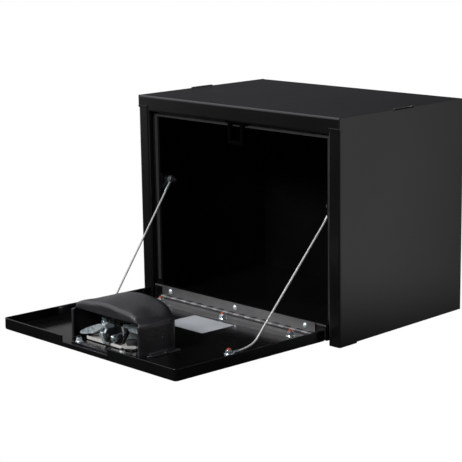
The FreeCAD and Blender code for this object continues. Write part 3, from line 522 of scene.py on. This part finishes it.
def headed_pin(name, foot, axis, radius, tall, head_radius, head_tall):
    """Turned pin with a rounded head, standing on its foot."""
    shank = turned_part(foot, axis, radius, tall)
    head = turned_part(foot + axis * (tall * MM), axis, head_radius, head_tall)
    rounding = head.modifiers.new("rounding", "BEVEL")
    rounding.width, rounding.segments = head_tall * MM * 0.42, 3
    bpy.ops.object.modifier_apply(modifier="rounding")
    shank.select_set(True)
    bpy.ops.object.join()
    pin = bpy.context.object
    pin.name = name
    return pin


for word, side in SIDES:
    # from the plate round the stud, then out to the hook at its end
    points = [on_door(side * COIL_FIRST, CLAW_AT - 1, 5.6)]
    for k in range(COIL_TURNS * TURN_STEPS + TURN_STEPS // 2 + 1):
        a = -pi / 2 + side * 2 * pi * k / TURN_STEPS
        x = COIL_FIRST + COIL_PITCH * k / TURN_STEPS
        points.append(on_door(side * x, CLAW_AT + COIL * cos(a), CLAW_HIGH + COIL * sin(a)))
    end = COIL_FIRST + COIL_PITCH * (COIL_TURNS + 0.5)
    for across_it, back, up in ((0.6, 6, 1.0), (4.5, 13, 3.4), (6.0, 14.5, 1.2)):
        points.append(on_door(side * (end + across_it), CLAW_AT - back, CLAW_HIGH + COIL + up))
    fit_on_door(wound_wire("claw_spring_" + word, points), nut_zinc)
    stud_foot = on_door(side * 5.5, CLAW_AT, CLAW_HIGH)
    stud = headed_pin("spring_stud_" + word, stud_foot, Vector((side, 0, 0)), 2.6, 9.0, 3.2, 0.9)
    fit_on_door(stud, nut_zinc)

x, v, foot_high = LEVER_PIN
points = []
for k in range(LEVER_TURNS * TURN_STEPS + 1):
    a = 2 * pi * k / TURN_STEPS
    points.append(on_door(x + LEVER_COIL * cos(a), v + LEVER_COIL * sin(a),
                          LEVER_FOOT + LEVER_TALL * k / (LEVER_TURNS * TURN_STEPS)))
points.append(on_door(x - 1.0, v + 1.0, LEVER_FOOT + LEVER_TALL + 0.8))
fit_on_door(wound_wire("lever_spring", points), nut_zinc)
fit_on_door(headed_pin("lever_spring_pin", on_door(x, v, foot_high), UP, 2.4, 31.0, 3.4, 2.0),
            bright_zinc)

x, v, foot_high = STAR_AT
bpy.ops.mesh.primitive_cylinder_add(
    vertices=STAR_POINTS * 2, radius=STAR_RADIUS * MM, depth=STAR_THICK * MM,
    location=on_door(x, v, foot_high + 0.55), rotation=(TILT, 0, 0))
star = bpy.context.object
star.name = "star_washer"
for corner in star.data.vertices:
    k = round((pi + corner.co.xy.angle_signed(Vector((1, 0)))) / (pi / STAR_POINTS))
    if k % 2:
        corner.co.xy *= STAR_NOTCH
bevel = star.modifiers.new("bevel", "BEVEL")
bevel.width, bevel.segments = 0.25 * MM, 2
bpy.ops.object.modifier_apply(modifier="bevel")
fit_on_door(star, nut_zinc)
fit_on_door(headed_pin("star_pin", on_door(*STAR_AT), UP, 1.8, 2.6, 2.5, 1.4), bright_zinc)

# Cover of the latch: one moulding of black plastic with a fine leather grain, held by two
# rivets. Its arched roof swells to a fat lip over the mouth, and its foot runs into the
# ledge of the skirt in a soft hollow, as plastic leaves the mould.

VOXEL = 1.1 * MM
# in mm: heights above the door's floor, the mouth's place out from the pin, and how much
# higher the mouth's upper corners stand than the plain moulding's
SKIRT_TOP, FOOT_TOP, FOOT_SIDE = 48.0, 7.0, 74.0
MOUTH_AT, CORNER_LIFT = 277.0, 4.2
# name, vertex group, factor and rounds of each smoothing
FAIRINGS = (("soft_ledge", "hollow", 0.6, 34), ("soft_foot", "foot", 0.5, 18),
            ("fair_skin", "", 0.5, 7))


def ease(value, start, end):
    """0 to 1 from start to end, soft at both."""
    t = min(1.0, max(0.0, (value - start) / (end - start)))
    return t * t * (3 - 2 * t)


cover = bpy.data.objects.new("moulded_cover", nodes["latch_cover"].data.copy())
scene.collection.objects.link(cover)
select_only(cover)
bpy.ops.object.mode_set(mode="EDIT")
bpy.ops.mesh.select_all(action="SELECT")
bpy.ops.mesh.remove_doubles(threshold=0.01 * MM)
bpy.ops.object.mode_set(mode="OBJECT")
even = cover.modifiers.new("even_mesh", "REMESH")
even.mode, even.voxel_size = "VOXEL", VOXEL
bpy.ops.object.modifier_apply(modifier="even_mesh")
hollow = cover.vertex_groups.new(name="hollow")
foot = cover.vertex_groups.new(name="foot")
for point in cover.data.vertices:
    away = point.co - PIN
    x, v, h = abs(away.x) / MM, away.dot(OUT) / MM, (away.dot(UP) - FLOOR) / MM
    toward_corner = ease(v, 228, MOUTH_AT - 6) * ease(x, 28, 62)
    lift = CORNER_LIFT * toward_corner * ease(h, SKIRT_TOP + 1.5, SKIRT_TOP + 6)
    point.co += UP * (lift * MM)
    over, under = ease(h, SKIRT_TOP - 8, SKIRT_TOP - 3), ease(SKIRT_TOP + 15 - h, 0, 8)
    weight = over * under * ease(MOUTH_AT - 1 - v, 0, 5)
    if weight > 0:
        hollow.add([point.index], weight, "REPLACE")
    if h < FOOT_TOP and v < MOUTH_AT - 4:
        foot.add([point.index], ease(x, FOOT_SIDE, FOOT_SIDE + 4), "REPLACE")
for name, group, factor, rounds in FAIRINGS:
    fair = cover.modifiers.new(name, "SMOOTH")
    fair.vertex_group, fair.factor, fair.iterations = group, factor, rounds
    bpy.ops.object.modifier_apply(modifier=name)
bpy.ops.object.shade_smooth()

cover_plastic, g, coords = finish("cover_plastic")
cells = g.add("ShaderNodeTexVoronoi", {"Vector": coords, "Scale": 400.0}).outputs["Distance"]
shade = clouds(g, coords, 30.0)
pebbles = g.maths("ADD", cells, g.noise(coords, 240, 3.0))
leather = g.add("ShaderNodeBump", {"Height": pebbles, "Distance": 0.36 * MM, "Strength": 0.9})
surface(g, {"Base Color": g.mix(shade, (0.0085, 0.0082, 0.0096), (0.0130, 0.0122, 0.0144)),
            "Roughness": g.ramp(shade, 0.40, 0.50), "Specular IOR Level": 0.66,
            "Normal": leather.outputs[0]})
cover.data.materials.clear()
cover.data.materials.append(cover_plastic)
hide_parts("latch_cover")
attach(cover, "door")
paint(anchor_steel, "cover_rivet_left", "cover_rivet_right")

# Label: pale paper under film, stuck to the floor of the door beside the cover. It is
# left blank, and handling has dulled it in patches.

label_stock, g, coords = finish("pale_label")
tint = g.mix(clouds(g, coords, 25.0), (0.35, 0.37, 0.39), (0.42, 0.44, 0.46))
tint = g.mix(g.ramp(g.noise(coords, 900, 4.0), 0.0, 0.25, 0.4, 0.7), tint, (0.27, 0.29, 0.32))
surface(g, {"Base Color": tint, "Roughness": g.ramp(g.noise(coords, 25), 0.35, 0.5),
            "Normal": grain(g, coords, 60.0, 0.2 * MM, 0.2 * MM)})
paint(label_stock, "blank_label")


# Floor and light: the camera sees a white studio. What the paint reflects is a white
# room with a dark side round the camera: the floor is bright to the right of the box
# and to its left, and dim in front.

FLOOR_SIZE, FLOOR_GAP = 12, 0.2 * MM
RIGHT_GLOW, LEFT_GLOW, ROOM_GLOW = 0.67, 0.70, 0.03
# each patch of the studio's walls: direction, where it starts and is full, and its glow
SOFT_PATCHES = (((-0.72, -0.22, 0.66), 0.60, 0.86, 1.25), ((-0.74, 0.65, 0.16), 0.95, 1.0, 0.04),
                ((0.66, 0.74, 0.06), 0.70, 0.98, 0.55), ((0, 0, 1), 0.70, 1.0, 0.10))

bpy.ops.object.select_all(action="DESELECT")
bpy.ops.mesh.primitive_plane_add(size=FLOOR_SIZE, location=(0, 0, cad_box[0].z - FLOOR_GAP))
ground = bpy.context.object
ground.name = "studio_floor"
studio_floor, g, coords = finish("studio_floor")
seen = g.add("ShaderNodeLightPath").outputs["Is Camera Ray"]


def along(direction, start, end):
    """0 to 1 over the floor, from start to end along a direction."""
    place = g.vectors("DOT_PRODUCT", coords, Vector(direction).normalized())
    return g.ramp(place, 0.0, 1.0, start, end, "SMOOTHSTEP")


right_side = g.maths("MULTIPLY", along((1.95, -1.35, 0), -0.12, 0.33), along((1, 1, 0), -0.05, 0.60))
left_side = g.maths("MULTIPLY", along((-1, 1, 0), 0.18, 0.5), along((-1, -1, 0), -0.3, 0.2))
room = g.maths("ADD", g.maths("MULTIPLY", right_side, RIGHT_GLOW),
               g.maths("MULTIPLY", left_side, LEFT_GLOW))
room = g.maths("ADD", room, ROOM_GLOW)
pale = g.add("ShaderNodeEmission", {"Color": (1, 1, 1, 1), "Strength": 1.0}).outputs[0]
dull = g.add("ShaderNodeEmission", {"Color": (1, 1, 1, 1), "Strength": room}).outputs[0]
both = g.add("ShaderNodeMixShader", {0: seen, 1: dull, 2: pale}).outputs[0]
g.add("ShaderNodeOutputMaterial", {"Surface": both})
ground.data.materials.append(studio_floor)

world = bpy.data.worlds.new("studio")
scene.world = world
world.use_nodes = True
g = Graph(world.node_tree)
way = g.add("ShaderNodeTexCoord").outputs["Generated"]
strength = ROOM_GLOW
for direction, start, end, glow in SOFT_PATCHES:
    toward = g.vectors("DOT_PRODUCT", way, Vector(direction).normalized())
    patch = g.ramp(toward, 0.0, glow, start, end, "SMOOTHSTEP")
    strength = g.maths("ADD", patch, strength)
backdrop = g.add("ShaderNodeBackground", {"Color": (1, 1, 1, 1)}).outputs[0]
surround = g.add("ShaderNodeBackground", {"Color": (0.95, 0.93, 1, 1), "Strength": strength})
seen = g.add("ShaderNodeLightPath").outputs["Is Camera Ray"]
both = g.add("ShaderNodeMixShader", {0: seen, 1: surround.outputs[0], 2: backdrop}).outputs[0]
g.add("ShaderNodeOutputWorld", {"Surface": both})


def soft_light(name, place, target, width, height, watts):
    """White panel that faces its target and isn't seen itself."""
    data = bpy.data.lights.new(name, "AREA")
    data.shape = "RECTANGLE"
    data.size, data.size_y = width, height
    data.energy = watts
    light = bpy.data.objects.new(name, data)
    scene.collection.objects.link(light)
    light.location = place
    light.rotation_mode = "QUATERNION"
    light.rotation_quaternion = (Vector(target) - Vector(place)).to_track_quat("-Z", "Y")
    light.visible_camera = False


soft_light("top_softbox", (-0.3, -0.35, 2.4), (0, -0.3, 0.1), 0.8, 0.8, 8)
soft_light("front_softbox", (0.1, -2.1, 1.45), (-0.05, -0.42, 0.03), 0.6, 0.45, 48)
soft_light("back_left_card", (-1.0, 0.55, 0.2), (0, -0.3, 0.0), 1.2, 0.36, 0.35)
